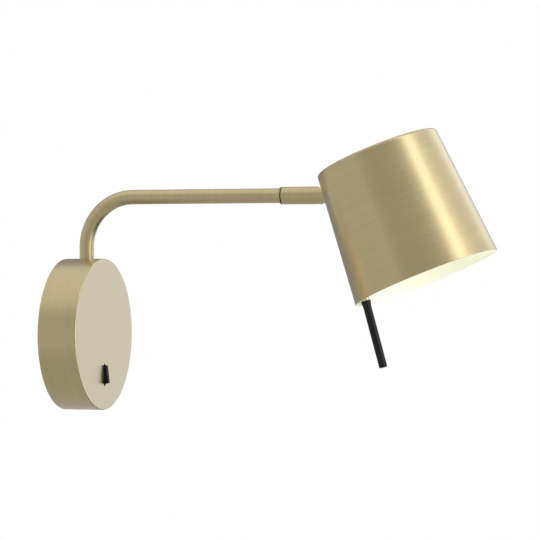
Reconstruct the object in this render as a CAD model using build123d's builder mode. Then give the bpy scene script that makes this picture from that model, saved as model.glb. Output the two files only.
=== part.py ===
from build123d import *
import os
from math import cos, radians, sin, sqrt, tan

# A bedside wall reading lamp: a round canopy with a rocker switch, a bent tube arm, a swivel
# and a tilting tapered shade with a handle.  Millimetres, +Z up.  The origin is the centre of
# the canopy's back, on the wall, and the lamp reaches out from the wall along -Y.

# ---------------------------------------------------------------- driving dimensions

# Fits
running_clearance = 0.05
face_gap = 0.05
loose_fit = 0.3

# Canopy: a shallow spun cup that stands on the wall
canopy_diameter = 110
canopy_depth = 29
canopy_wall = 1.5
canopy_edge_radius = 0.8

# Wall plate: the disc that is screwed to the wall and carries the canopy
plate_thickness = 2
plate_edge_gap = 0.6
fixing_spacing = 60
fixing_slot_width = 5
fixing_slot_length = 10
cable_hole_height = -12
grommet_diameter = 16
grommet_bore = 9
grommet_lip = 1.5
grommet_groove_depth = 1.5
bottom_lug_width = 14
bottom_lug_reach = 11
lug_thickness = 2.5
cover_screw_diameter = 4
cover_screw_length = 6
hex_socket_size = 2
hex_socket_depth = 1.6
hook_spacing = 17
hook_width = 4
hook_thickness = 1.5
hook_reach = 9
hook_lip_height = 4

# Arm: one tube that rises out of the canopy's rim and bends out from the wall
tube_diameter = 10.5
tube_wall = 1
arm_stand_off = 15.5
arm_height = 99.5
arm_bend_radius = 36.2
arm_reach = 165.2
tube_socket_depth = 7
clamp_block_width = 26
clamp_block_depth = 17
clamp_block_floor = 2
lead_hole_diameter = 6.5
arm_screw_diameter = 4

# Swivel at the end of the arm
sleeve_diameter = 12.5
sleeve_wall = 1.25
sleeve_edge_radius = 0.3
ferrule_land = 1.1
ferrule_flare = 2.6
ferrule_lip = 0.4
ferrule_spigot = 10
spindle_diameter = 6
spindle_bore = 3.6
spindle_engagement = 8
swivel_gap = 0.8
swivel_washer_diameter = 11.5
bulkhead_thickness = 4
disc_spring_thickness = 0.4
disc_spring_height = 0.9
swivel_nut_diameter = 9.2
swivel_nut_thickness = 3
swivel_nut_slot = 1.4
swivel_nut_slot_depth = 1
spindle_overhang = 1
stop_pin_diameter = 1
stop_pin_circle = 9.2
stop_pin_seat = 1
stop_groove_depth = 2
stop_land_angle = 16

# Tilt joint: a forked plug in the sleeve and a tongue on the shade's bracket
pivot_distance = 33.5
fork_slot_width = 5.6
fork_slot_length = 7.2
fork_floor_length = 4.1
fork_floor_height = 3
plug_length = 21
lead_bore = 4
sleeve_screw_diameter = 3
sleeve_screw_setback = 12
sleeve_screw_socket = 1.5
pivot_screw_diameter = 3
pivot_head_diameter = 5.4
pivot_head_height = 1.5
pivot_head_sink = 0.5
pivot_end_sink = 0.8
screw_slot_width = 0.8
screw_slot_depth = 0.8
tongue_thickness = 4
washer_diameter = 8

# Shade: a tapered cup with a closed top, hung in its rest tilt
shade_top_diameter = 89.4
shade_bottom_diameter = 106.3
shade_height = 95
shade_wall = 1.2
shade_corner_radius = 1.8
shade_lip_radius = 0.4
shade_tilt = 22.2
tilt_limit = 40
pivot_from_axis = 44.2
pivot_below_top = 13.9
shade_slot_side_gap = 0.5
shade_slot_end_gap = 0.4
shade_slot_corner = 3

# Bracket, lampholder and lamp inside the shade
bracket_thickness = 2.5
bracket_disc_diameter = 46
bracket_strap_width = 13
bracket_fillet = 6
web_front = 20
web_rear = 39
eye_diameter = 9.2
lobe_width = 5.2
stud_diameter = 4
stud_spacing = 34
stud_length = 8
stud_nut_size = 7
stud_nut_thickness = 3.2
holder_length = 20
holder_width = 15
holder_height = 18
holder_corner = 4
holder_recess_length = 11.4
holder_recess_width = 5.8
holder_recess_depth = 5
holder_screw_diameter = 3
holder_screw_head = 5.5
holder_screw_length = 10
holder_screw_spacing = 10.4
pin_spacing = 9
pin_diameter = 1
pin_hole_diameter = 1.8
pin_length = 7
lamp_foot_length = 10.8
lamp_foot_width = 5.2
lamp_base_diameter = 17
lamp_base_height = 11
lamp_base_chamfer = 2
envelope_diameter = 16
envelope_length = 39
envelope_wall = 0.8
core_width = 6
core_length = 28

# Handle that hangs out of the shade beside its rear wall
rod_diameter = 5.9
rod_angle = 7
rod_wall_gap = 1.75
rod_start = 22
boss_diameter = 7.4
boss_length = 8
rod_thread_diameter = 4
grip_start_above_rim = 1.9
grip_reach_below_rim = 46.4
grip_collar_diameter = 7
grip_collar_length = 1.5
grip_collar_taper = 2.6
grip_thread_diameter = 3
grip_thread_length = 12
grip_end_radius = 0.8

# Rocker switch in the canopy's face
switch_edge_distance = 25.4
switch_slot_length = 16.4
switch_slot_width = 3.9
rocker_width = 3.4
rocker_length = 13.4
rocker_stand = 2.65
rocker_tilt = 6.3
rocker_edge_radius = 0.9
rocker_depth = 3.2
rocker_pivot_depth = 2.6
trunnion_diameter = 1.6
trunnion_length = 0.9
switch_body_length = 21
switch_body_width = 12
switch_body_depth = 11
switch_well_depth = 6
switch_flange_length = 33
switch_flange_thickness = 2
switch_stud_spacing = 27
switch_stud_diameter = 2.5
switch_stud_length = 5
switch_nut_size = 4.6
switch_nut_thickness = 1.8
tab_width = 4.8
tab_thickness = 0.8
tab_length = 6
tab_spacing = 8
connector_width = 7.6
connector_height = 4.6
connector_length = 9
connector_corner = 1

# Wiring pieces in the canopy
terminal_height = 17
terminal_pitch = 10
terminal_block_width = 16
terminal_block_base = 3
terminal_block_corner = 2
terminal_tower_diameter = 7.4
terminal_tower_height = 10
terminal_barrel_height = 7
terminal_wire_hole = 3.4
terminal_insert_diameter = 5
terminal_screw_diameter = 2.6
terminal_screw_length = 4
block_screw_diameter = 2
block_screw_head = 2.5
block_screw_head_height = 1.2
earth_screw_diameter = 4
earth_screw_head = 7.6
earth_screw_head_height = 2.6
earth_washer_diameter = 9
earth_washer_thickness = 1
earth_side_offset = 26
earth_height = 17
lead_diameter = 3.2
lead_bend_radius = 8
switch_lead_diameter = 1.8
switch_lead_bend_radius = 4
switch_lead_grip = 1.2
switch_lead_engagement = 5

# ---------------------------------------------------------------- worked-out sizes

canopy_radius = canopy_diameter / 2
canopy_inner_radius = canopy_radius - canopy_wall
canopy_inner_depth = canopy_depth - canopy_wall
plate_radius = canopy_inner_radius - plate_edge_gap
tube_radius = tube_diameter / 2
tube_inner_radius = tube_radius - tube_wall
sleeve_radius = sleeve_diameter / 2
sleeve_bore_radius = sleeve_radius - sleeve_wall
spindle_radius = spindle_diameter / 2
sleeve_start = arm_reach + swivel_gap
pivot_reach = sleeve_start + pivot_distance
sleeve_end = pivot_reach + sleeve_radius
plug_start = sleeve_end - plug_length
tube_end = arm_reach - ferrule_lip - ferrule_flare - ferrule_land
block_floor_height = canopy_inner_radius - tube_socket_depth - clamp_block_floor
tube_foot = canopy_inner_radius - tube_socket_depth
switch_height = switch_edge_distance - canopy_radius

# Planes.  "face" looks at the wall, its offset is the distance out from the wall.
# "side" and "arm_side" are the lamp's middle plane, with x out from the wall and y up.
face = Plane.XZ
level = Plane.XY
side = Plane(origin=(0, 0, 0), x_dir=(0, -1, 0), z_dir=(-1, 0, 0))
arm_side = Plane(origin=(0, 0, arm_height), x_dir=(0, -1, 0), z_dir=(-1, 0, 0))
arm_section = Plane(origin=(0, 0, arm_height), x_dir=(1, 0, 0), z_dir=(0, -1, 0))
arm_axis = Axis((0, 0, arm_height), (0, -1, 0))
pivot_side = Plane(origin=(0, -pivot_reach, arm_height), x_dir=(0, -1, 0), z_dir=(-1, 0, 0))
pivot_axis = Axis((0, -pivot_reach, arm_height), (1, 0, 0))

# The shade's own frame: "rear" points from its axis to the wall side, "down" to its mouth.
tilt = radians(shade_tilt)
rear = Vector(0, cos(tilt), -sin(tilt))
down = Vector(0, -sin(tilt), -cos(tilt))
pivot_point = Vector(0, -pivot_reach, arm_height)
shade_top = pivot_point - rear * pivot_from_axis - down * pivot_below_top
head = Plane(origin=shade_top, x_dir=(1, 0, 0), z_dir=-down)
head_side = Plane(origin=shade_top, x_dir=rear, z_dir=(1, 0, 0))
head_axis = Axis(shade_top, -down)
shade_top_radius = shade_top_diameter / 2
shade_bottom_radius = shade_bottom_diameter / 2
shade_slope = (shade_bottom_radius - shade_top_radius) / shade_height
shade_wall_across = shade_wall * sqrt(1 + shade_slope**2)


def outer_radius(depth):
    """The shade's outside radius at a depth below its top."""
    return shade_top_radius + shade_slope * depth


def inner_radius(depth):
    """The shade's inside radius at a depth below its top."""
    return outer_radius(depth) - shade_wall_across


# ---------------------------------------------------------------- wall plate and what it carries

# Wall plate: a disc with two slots for the wall screws, a cable hole, a screwed lug at the
# bottom and two upturned hooks at the top that the canopy hangs on.
hook_top = block_floor_height + hook_lip_height - hook_thickness
hook_bottom = block_floor_height - face_gap - hook_thickness - loose_fit
with BuildPart() as wall_plate:
    with BuildSketch(face):
        Circle(plate_radius)
        with Locations((0, cable_hole_height)):
            Circle(grommet_diameter / 2 - grommet_groove_depth, mode=Mode.SUBTRACT)
        with GridLocations(fixing_spacing, 0, 2, 1):
            SlotOverall(fixing_slot_length, fixing_slot_width, mode=Mode.SUBTRACT)
        with Locations((earth_side_offset, earth_height)):
            Circle(earth_screw_diameter / 2, mode=Mode.SUBTRACT)
        with Locations((0, terminal_height)):
            with GridLocations(terminal_pitch, 0, 2, 1):
                Circle(block_screw_diameter / 2, mode=Mode.SUBTRACT)
    extrude(amount=plate_thickness)
    with BuildSketch(face.offset(plate_thickness)):
        Circle(plate_radius)
        Circle(plate_radius - lug_thickness, mode=Mode.SUBTRACT)
        with Locations((0, -plate_radius)):
            Rectangle(bottom_lug_width, plate_radius, mode=Mode.INTERSECT)
    extrude(amount=bottom_lug_reach)
    with BuildSketch(level.offset(-plate_radius)):
        with Locations((0, -plate_thickness - bottom_lug_reach / 2)):
            Circle(cover_screw_diameter / 2)
    extrude(amount=lug_thickness * 2, mode=Mode.SUBTRACT)
    with BuildSketch(face.offset(plate_thickness)):
        with Locations((0, hook_bottom + hook_thickness / 2)):
            with GridLocations(hook_spacing, 0, 2, 1):
                Rectangle(hook_width, hook_thickness)
    extrude(amount=hook_reach)
    with BuildSketch(face.offset(plate_thickness + hook_reach - hook_thickness)):
        with Locations((0, (hook_bottom + hook_top) / 2)):
            with GridLocations(hook_spacing, 0, 2, 1):
                Rectangle(hook_width, hook_top - hook_bottom)
    extrude(amount=hook_thickness)
wall_plate.part.label = "wall_plate"

# Cable grommet: a rubber top-hat ring that lines the plate's cable hole, flush at the back
# so that the plate still lies flat on the wall.
grommet_seat_radius = grommet_diameter / 2 - grommet_groove_depth
with BuildPart() as cable_grommet:
    with BuildSketch(face):
        with Locations((0, cable_hole_height)):
            Circle(grommet_seat_radius)
            Circle(grommet_bore / 2, mode=Mode.SUBTRACT)
    extrude(amount=plate_thickness + grommet_lip)
    with BuildSketch(face.offset(plate_thickness)):
        with Locations((0, cable_hole_height)):
            Circle(grommet_diameter / 2)
            Circle(grommet_bore / 2, mode=Mode.SUBTRACT)
    extrude(amount=grommet_lip)
    fillet(cable_grommet.edges().filter_by(GeomType.CIRCLE).sort_by(Axis.Y)[:2], grommet_lip / 4)
cable_grommet.part.label = "cable_grommet"

# Cover screw: a socket grub screw in the bottom lug.  It is backed out into the hole in the
# canopy's rim until it lies flush, and holds the canopy's lower edge.
cover_screw_reach = plate_thickness + bottom_lug_reach / 2
with BuildPart() as cover_screw:
    with BuildSketch(level.offset(-canopy_radius)):
        with Locations((0, -cover_screw_reach)):
            Circle(cover_screw_diameter / 2)
    extrude(amount=cover_screw_length)
    with BuildSketch(level.offset(-canopy_radius)):
        with Locations((0, -cover_screw_reach)):
            RegularPolygon(hex_socket_size / 2, 6, major_radius=False)
    extrude(amount=hex_socket_depth, mode=Mode.SUBTRACT)
cover_screw.part.label = "cover_screw"

# Terminal block: three round towers on one base, each with a clamping screw from the front
# and a cross hole that takes a wire from either side.
block_length = terminal_pitch * 3
block_front = plate_thickness + terminal_block_base
tower_front = block_front + terminal_tower_height
wire_reach = block_front + terminal_barrel_height / 2
with BuildPart() as terminal_block:
    with BuildSketch(face.offset(plate_thickness)):
        with Locations((0, terminal_height)):
            RectangleRounded(block_length, terminal_block_width, terminal_block_corner)
    extrude(amount=terminal_block_base)
    with BuildSketch(face.offset(block_front)):
        with Locations((0, terminal_height)):
            with GridLocations(terminal_pitch, 0, 3, 1):
                Rectangle(terminal_tower_diameter, terminal_block_width)
    extrude(amount=terminal_barrel_height)
    with BuildSketch(face.offset(block_front)):
        with Locations((0, terminal_height)):
            with GridLocations(terminal_pitch, 0, 3, 1):
                Circle(terminal_tower_diameter / 2)
    extrude(amount=terminal_tower_height)
    with BuildSketch(face.offset(tower_front)):
        with Locations((0, terminal_height)):
            with GridLocations(terminal_pitch, 0, 3, 1):
                Circle(terminal_screw_diameter / 2)
    extrude(amount=wire_reach - tower_front, mode=Mode.SUBTRACT)
    with BuildSketch(level.offset(terminal_height)):
        with Locations((0, -wire_reach)):
            with GridLocations(terminal_pitch, 0, 3, 1):
                Circle(terminal_insert_diameter / 2)
    extrude(amount=terminal_block_width / 2, both=True, mode=Mode.SUBTRACT)
    with BuildSketch(face.offset(plate_thickness)):
        with Locations((0, terminal_height)):
            with GridLocations(terminal_pitch, 0, 2, 1):
                Circle(block_screw_diameter / 2)
    extrude(amount=terminal_block_base, mode=Mode.SUBTRACT)
terminal_block.part.label = "terminal_block"

# Terminal inserts: a brass tube in each tower, cross-drilled for its screw.
with BuildPart() as terminal_inserts:
    with BuildSketch(level.offset(terminal_height)):
        with Locations((0, -wire_reach)):
            with GridLocations(terminal_pitch, 0, 3, 1):
                Circle(terminal_insert_diameter / 2)
                Circle(terminal_wire_hole / 2, mode=Mode.SUBTRACT)
    extrude(amount=terminal_block_width / 2, both=True)
    with BuildSketch(face.offset(wire_reach)):
        with Locations((0, terminal_height)):
            with GridLocations(terminal_pitch, 0, 3, 1):
                Circle(terminal_screw_diameter / 2)
    extrude(amount=terminal_insert_diameter, mode=Mode.SUBTRACT)
terminal_inserts.part.label = "terminal_inserts"

# Terminal screws: one in each tower, their points in the inserts.
with BuildPart() as terminal_screws:
    with BuildSketch(face.offset(wire_reach + terminal_wire_hole / 2)):
        with Locations((0, terminal_height)):
            with GridLocations(terminal_pitch, 0, 3, 1):
                Circle(terminal_screw_diameter / 2)
    extrude(amount=terminal_screw_length)
    with BuildSketch(face.offset(wire_reach + terminal_wire_hole / 2 + terminal_screw_length)):
        with Locations((0, terminal_height)):
            with GridLocations(terminal_pitch, 0, 3, 1):
                Rectangle(screw_slot_width, terminal_screw_diameter)
    extrude(amount=-screw_slot_depth, mode=Mode.SUBTRACT)
terminal_screws.part.label = "terminal_screws"

# Block screws: two small screws between the towers hold the block on the plate.
with BuildPart() as block_screws:
    with BuildSketch(face):
        with Locations((0, terminal_height)):
            with GridLocations(terminal_pitch, 0, 2, 1):
                Circle(block_screw_diameter / 2)
    extrude(amount=block_front)
    with BuildSketch(face.offset(block_front)):
        with Locations((0, terminal_height)):
            with GridLocations(terminal_pitch, 0, 2, 1):
                Circle(block_screw_head / 2)
    extrude(amount=block_screw_head_height)
block_screws.part.label = "block_screws"

# Earth terminal: a pan-headed screw in the plate with a washer under its head.
with BuildPart() as earth_washer:
    with BuildSketch(face.offset(plate_thickness)):
        with Locations((earth_side_offset, earth_height)):
            Circle(earth_washer_diameter / 2)
            Circle(earth_screw_diameter / 2, mode=Mode.SUBTRACT)
    extrude(amount=earth_washer_thickness)
earth_washer.part.label = "earth_washer"

earth_head_seat = plate_thickness + earth_washer_thickness
with BuildPart() as earth_screw:
    with BuildSketch(face):
        with Locations((earth_side_offset, earth_height)):
            Circle(earth_screw_diameter / 2)
    extrude(amount=earth_head_seat)
    with BuildSketch(face.offset(earth_head_seat)):
        with Locations((earth_side_offset, earth_height)):
            Circle(earth_screw_head / 2)
    extrude(amount=earth_screw_head_height)
    fillet(earth_screw.edges().filter_by(GeomType.CIRCLE).sort_by(Axis.Y)[0], screw_slot_depth)
    with BuildSketch(face.offset(earth_head_seat + earth_screw_head_height)):
        with Locations((earth_side_offset, earth_height)):
            Rectangle(screw_slot_width, earth_screw_head)
    extrude(amount=-screw_slot_depth, mode=Mode.SUBTRACT)
earth_screw.part.label = "earth_screw"

# ---------------------------------------------------------------- canopy and switch

# Canopy cover: a cup with a small edge radius, holed for the arm, the switch and the screw.
with BuildPart() as canopy_cover:
    with BuildSketch(face):
        Circle(canopy_radius)
    extrude(amount=canopy_depth)
    fillet(canopy_cover.edges().filter_by(GeomType.CIRCLE).sort_by(Axis.Y)[0], canopy_edge_radius)
    with BuildSketch(face):
        Circle(canopy_inner_radius)
    extrude(amount=canopy_inner_depth, mode=Mode.SUBTRACT)
    with BuildSketch(level):
        with Locations((0, -arm_stand_off)):
            Circle(tube_radius + running_clearance)
    extrude(amount=canopy_diameter, mode=Mode.SUBTRACT)
    with BuildSketch(level):
        with Locations((0, -cover_screw_reach)):
            Circle(cover_screw_diameter / 2 + running_clearance)
    extrude(amount=-canopy_diameter, mode=Mode.SUBTRACT)
    with BuildSketch(face.offset(canopy_inner_depth)):
        with Locations((0, switch_height)):
            SlotOverall(switch_slot_length, switch_slot_width, rotation=90)
    extrude(amount=canopy_wall, mode=Mode.SUBTRACT)
canopy_cover.part.label = "canopy_cover"

# Switch studs: two threaded studs welded on the inside of the canopy's face.
with BuildPart() as switch_studs:
    with BuildSketch(face.offset(canopy_inner_depth)):
        with Locations((0, switch_height)):
            with GridLocations(0, switch_stud_spacing, 1, 2):
                Circle(switch_stud_diameter / 2)
    extrude(amount=-switch_stud_length)
switch_studs.part.label = "switch_studs"

# Switch body: a moulded box behind the face, with a flange on the studs and an open well
# in which the rocker swings on its two trunnions.
flange_front = canopy_inner_depth - face_gap
rocker_pivot_reach = canopy_depth - rocker_pivot_depth
rocker_pivot = Vector(0, -rocker_pivot_reach, switch_height)
rocker_pivot_side = Plane(origin=rocker_pivot, x_dir=(0, -1, 0), z_dir=(-1, 0, 0))
with BuildPart() as switch_body:
    with BuildSketch(face.offset(flange_front)):
        with Locations((0, switch_height)):
            SlotOverall(switch_flange_length, switch_body_width, rotation=90)
    extrude(amount=-switch_flange_thickness)
    with BuildSketch(face.offset(flange_front)):
        with Locations((0, switch_height)):
            Rectangle(switch_body_width, switch_body_length)
    extrude(amount=-switch_body_depth)
    with BuildSketch(face.offset(flange_front)):
        with Locations((0, switch_height)):
            Rectangle(switch_slot_width, switch_slot_length)
    extrude(amount=-switch_well_depth, mode=Mode.SUBTRACT)
    with BuildSketch(rocker_pivot_side):
        Circle(trunnion_diameter / 2 + running_clearance)
        with Locations((trunnion_diameter / 2, 0)):
            Rectangle(trunnion_diameter, trunnion_diameter + 2 * running_clearance)
    extrude(amount=rocker_width / 2 + trunnion_length + running_clearance, both=True, mode=Mode.SUBTRACT)
    with BuildSketch(face.offset(flange_front)):
        with Locations((0, switch_height)):
            with GridLocations(0, switch_stud_spacing, 1, 2):
                Circle(switch_stud_diameter / 2 + running_clearance)
    extrude(amount=-switch_body_depth, mode=Mode.SUBTRACT)
switch_body.part.label = "switch_body"

# Switch nuts: hold the flange on the studs.
with BuildPart() as switch_nuts:
    with BuildSketch(face.offset(flange_front - switch_flange_thickness - face_gap)):
        with Locations((0, switch_height)):
            with GridLocations(0, switch_stud_spacing, 1, 2):
                RegularPolygon(switch_nut_size / 2, 6, major_radius=False)
                Circle(switch_stud_diameter / 2, mode=Mode.SUBTRACT)
    extrude(amount=-switch_nut_thickness)
switch_nuts.part.label = "switch_nuts"

# Switch tabs: two brass blades out of the back of the switch.
with BuildPart() as switch_tabs:
    with BuildSketch(face.offset(flange_front - switch_body_depth)):
        with Locations((0, switch_height)):
            with GridLocations(0, tab_spacing, 1, 2):
                Rectangle(tab_width, tab_thickness)
    extrude(amount=-tab_length)
switch_tabs.part.label = "switch_tabs"

# Switch connectors: a nylon-covered flag receptacle pushed on each tab, bored at its side for
# a wire, the upper one to the left and the lower one to the right.
tab_root_reach = flange_front - switch_body_depth
connector_front = tab_root_reach - loose_fit
with BuildPart() as switch_connectors:
    with BuildSketch(face.offset(connector_front)):
        with Locations((0, switch_height)):
            with GridLocations(0, tab_spacing, 1, 2):
                RectangleRounded(connector_width, connector_height, connector_corner)
    extrude(amount=-connector_length)
    with BuildSketch(face.offset(connector_front)):
        with Locations((0, switch_height)):
            with GridLocations(0, tab_spacing, 1, 2):
                Rectangle(tab_width, tab_thickness)
    extrude(amount=tab_root_reach - tab_length - connector_front, mode=Mode.SUBTRACT)
    with BuildSketch(Plane.YZ.offset(-connector_width / 2)):
        with Locations((-wire_reach, switch_height + tab_spacing / 2)):
            Circle(switch_lead_diameter / 2)
    extrude(amount=switch_lead_grip, mode=Mode.SUBTRACT)
    with BuildSketch(Plane.YZ.offset(connector_width / 2)):
        with Locations((-wire_reach, switch_height - tab_spacing / 2)):
            Circle(switch_lead_diameter / 2)
    extrude(amount=-switch_lead_grip, mode=Mode.SUBTRACT)
switch_connectors.part.label = "switch_connectors"

# Switch leads: one wire from each connector up to its own outer tower of the terminal block.
lead_root = connector_width / 2 - switch_lead_grip
lead_top = terminal_height - terminal_block_width / 2 + switch_lead_engagement
with BuildPart() as switch_leads:
    with BuildLine(face.offset(wire_reach)) as upper_lead_path:
        FilletPolyline(
            (-lead_root, switch_height + tab_spacing / 2),
            (-terminal_pitch, switch_height + tab_spacing / 2),
            (-terminal_pitch, lead_top),
            radius=switch_lead_bend_radius,
        )
    with BuildSketch(Plane.YZ.offset(-lead_root)):
        with Locations((-wire_reach, switch_height + tab_spacing / 2)):
            Circle(switch_lead_diameter / 2)
    sweep(path=upper_lead_path.line)
    with BuildLine(face.offset(wire_reach)) as lower_lead_path:
        FilletPolyline(
            (lead_root, switch_height - tab_spacing / 2),
            (terminal_pitch, switch_height - tab_spacing / 2),
            (terminal_pitch, lead_top),
            radius=switch_lead_bend_radius,
        )
    with BuildSketch(Plane.YZ.offset(lead_root)):
        with Locations((-wire_reach, switch_height - tab_spacing / 2)):
            Circle(switch_lead_diameter / 2)
    sweep(path=lower_lead_path.line)
switch_leads.part.label = "switch_leads"

# Rocker: a narrow paddle drawn in its pivot's own frame, tilted with its lower end out.
rocker_lean = radians(rocker_tilt)
rocker_out = Vector(0, -cos(rocker_lean), sin(rocker_lean))
rest_rocker_side = Plane(origin=rocker_pivot, x_dir=rocker_out, z_dir=(-1, 0, 0))
with BuildPart() as switch_rocker:
    with BuildSketch(rest_rocker_side) as rocker_profile:
        with Locations(((rocker_pivot_depth + rocker_stand - rocker_depth) / 2, 0)):
            Rectangle(rocker_pivot_depth + rocker_stand + rocker_depth, rocker_length)
        fillet(rocker_profile.vertices().group_by(Axis.X)[-1], rocker_edge_radius)
        fillet(rocker_profile.vertices().group_by(Axis.X)[0], rocker_depth / 2)
    extrude(amount=rocker_width / 2, both=True)
    with BuildSketch(rocker_pivot_side):
        Circle(trunnion_diameter / 2)
    extrude(amount=rocker_width / 2 + trunnion_length, both=True)
switch_rocker.part.label = "switch_rocker"

# ---------------------------------------------------------------- arm

# Clamp block: brazed inside the top of the rim.  The arm's foot stands in its bore, two
# pockets in its floor take the wall plate's hooks, and a screw from the back holds the arm.
block_near = arm_stand_off - clamp_block_depth / 2
hook_lip_reach = plate_thickness + hook_reach - hook_thickness / 2
arm_screw_height = tube_foot + tube_socket_depth / 2
with BuildPart() as clamp_block:
    with BuildSketch(face.offset(block_near)):
        Circle(canopy_inner_radius - face_gap)
        with Locations((0, block_floor_height)):
            Rectangle(clamp_block_width, canopy_radius, align=(Align.CENTER, Align.MIN), mode=Mode.INTERSECT)
    extrude(amount=clamp_block_depth)
    with BuildSketch(level.offset(tube_foot)):
        with Locations((0, -arm_stand_off)):
            Circle(tube_radius + running_clearance)
    extrude(amount=canopy_radius, mode=Mode.SUBTRACT)
    with BuildSketch(level):
        with Locations((0, -arm_stand_off)):
            Circle(lead_hole_diameter / 2)
    extrude(amount=canopy_radius, mode=Mode.SUBTRACT)
    with BuildSketch(face):
        with Locations((0, arm_screw_height)):
            Circle(arm_screw_diameter / 2)
    extrude(amount=arm_stand_off, mode=Mode.SUBTRACT)
    with BuildSketch(level.offset(block_floor_height)):
        with Locations((0, -hook_lip_reach)):
            with GridLocations(hook_spacing, 0, 2, 1):
                Rectangle(hook_width + 2 * loose_fit, hook_thickness + 2 * loose_fit)
    extrude(amount=hook_lip_height - hook_thickness + loose_fit, mode=Mode.SUBTRACT)
clamp_block.part.label = "clamp_block"

# Arm screw: a socket grub screw that presses on the arm's foot.
with BuildPart() as arm_screw:
    with BuildSketch(face.offset(block_near)):
        with Locations((0, arm_screw_height)):
            Circle(arm_screw_diameter / 2)
    extrude(amount=arm_stand_off - tube_radius - block_near)
    with BuildSketch(face.offset(block_near)):
        with Locations((0, arm_screw_height)):
            RegularPolygon(hex_socket_size / 2, 6, major_radius=False)
    extrude(amount=hex_socket_depth, mode=Mode.SUBTRACT)
arm_screw.part.label = "arm_screw"

# Arm tube: up out of the canopy, round one bend and straight out from the wall.
with BuildPart() as arm_tube:
    with BuildLine(side) as arm_path:
        FilletPolyline(
            (arm_stand_off, tube_foot),
            (arm_stand_off, arm_height),
            (tube_end, arm_height),
            radius=arm_bend_radius,
        )
    with BuildSketch(level.offset(tube_foot)):
        with Locations((0, -arm_stand_off)):
            Circle(tube_radius)
            Circle(tube_inner_radius, mode=Mode.SUBTRACT)
    sweep(path=arm_path.line)
arm_tube.part.label = "arm_tube"

# Ferrule: brazed on the end of the tube.  It flares out to the sleeve's diameter and is
# threaded for the spindle.
flare_start = tube_end + ferrule_land
flare_end = flare_start + ferrule_flare
with BuildPart() as ferrule:
    with BuildSketch(arm_side):
        with BuildLine():
            Line((tube_end - ferrule_spigot, spindle_radius), (tube_end - ferrule_spigot, tube_inner_radius))
            Line((tube_end - ferrule_spigot, tube_inner_radius), (tube_end, tube_inner_radius))
            Line((tube_end, tube_inner_radius), (tube_end, tube_radius))
            Line((tube_end, tube_radius), (flare_start, tube_radius))
            Spline(
                (flare_start, tube_radius),
                (flare_end, sleeve_radius),
                tangents=((1, 0), (1, sleeve_radius - tube_radius)),
            )
            Line((flare_end, sleeve_radius), (arm_reach, sleeve_radius))
            Line((arm_reach, sleeve_radius), (arm_reach, spindle_radius))
            Line((arm_reach, spindle_radius), (tube_end - ferrule_spigot, spindle_radius))
        make_face()
    revolve(axis=arm_axis)
    with BuildSketch(arm_section.offset(arm_reach)):
        with Locations((0, stop_pin_circle / 2)):
            Circle(stop_pin_diameter / 2)
    extrude(amount=-stop_pin_seat, mode=Mode.SUBTRACT)
ferrule.part.label = "ferrule"

# Spindle: a hollow threaded stub that is screwed into the ferrule and carries the sleeve.
nut_start = sleeve_start + bulkhead_thickness + face_gap + disc_spring_height
spindle_end = nut_start + swivel_nut_thickness + spindle_overhang
with BuildPart() as spindle:
    with BuildSketch(arm_section.offset(arm_reach - spindle_engagement)):
        Circle(spindle_radius)
        Circle(spindle_bore / 2, mode=Mode.SUBTRACT)
    extrude(amount=spindle_end - arm_reach + spindle_engagement)
spindle.part.label = "spindle"

# Swivel washer: a dark fibre washer that sets the narrow gap between ferrule and sleeve.
with BuildPart() as swivel_washer:
    with BuildSketch(arm_section.offset(arm_reach)):
        Circle(swivel_washer_diameter / 2)
        Circle(spindle_radius, mode=Mode.SUBTRACT)
        with Locations((0, stop_pin_circle / 2)):
            Circle(stop_pin_diameter / 2, mode=Mode.SUBTRACT)
    extrude(amount=swivel_gap - face_gap)
swivel_washer.part.label = "swivel_washer"

# Stop pin: driven into the ferrule, it runs in the sleeve's curved groove and ends its turn.
with BuildPart() as stop_pin:
    with BuildSketch(arm_section.offset(arm_reach - stop_pin_seat)):
        with Locations((0, stop_pin_circle / 2)):
            Circle(stop_pin_diameter / 2)
    extrude(amount=stop_pin_seat + swivel_gap + stop_groove_depth - loose_fit)
stop_pin.part.label = "stop_pin"

# Disc spring: a coned washer that keeps the swivel's friction even.
spring_start = sleeve_start + bulkhead_thickness + face_gap
with BuildPart() as disc_spring:
    with BuildSketch(arm_side):
        with BuildLine():
            Polyline(
                (spring_start, spindle_radius + running_clearance),
                (spring_start + disc_spring_thickness, spindle_radius + running_clearance),
                (nut_start, swivel_nut_diameter / 2),
                (nut_start - disc_spring_thickness, swivel_nut_diameter / 2),
                close=True,
            )
        make_face()
    revolve(axis=arm_axis)
disc_spring.part.label = "disc_spring"

# Swivel nut: a round nut with two slots for a pin spanner.
with BuildPart() as swivel_nut:
    with BuildSketch(arm_section.offset(nut_start)):
        Circle(swivel_nut_diameter / 2)
        Circle(spindle_radius, mode=Mode.SUBTRACT)
    extrude(amount=swivel_nut_thickness)
    with BuildSketch(arm_section.offset(nut_start + swivel_nut_thickness)):
        Rectangle(swivel_nut_slot, swivel_nut_diameter)
    extrude(amount=-swivel_nut_slot_depth, mode=Mode.SUBTRACT)
swivel_nut.part.label = "swivel_nut"

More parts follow.
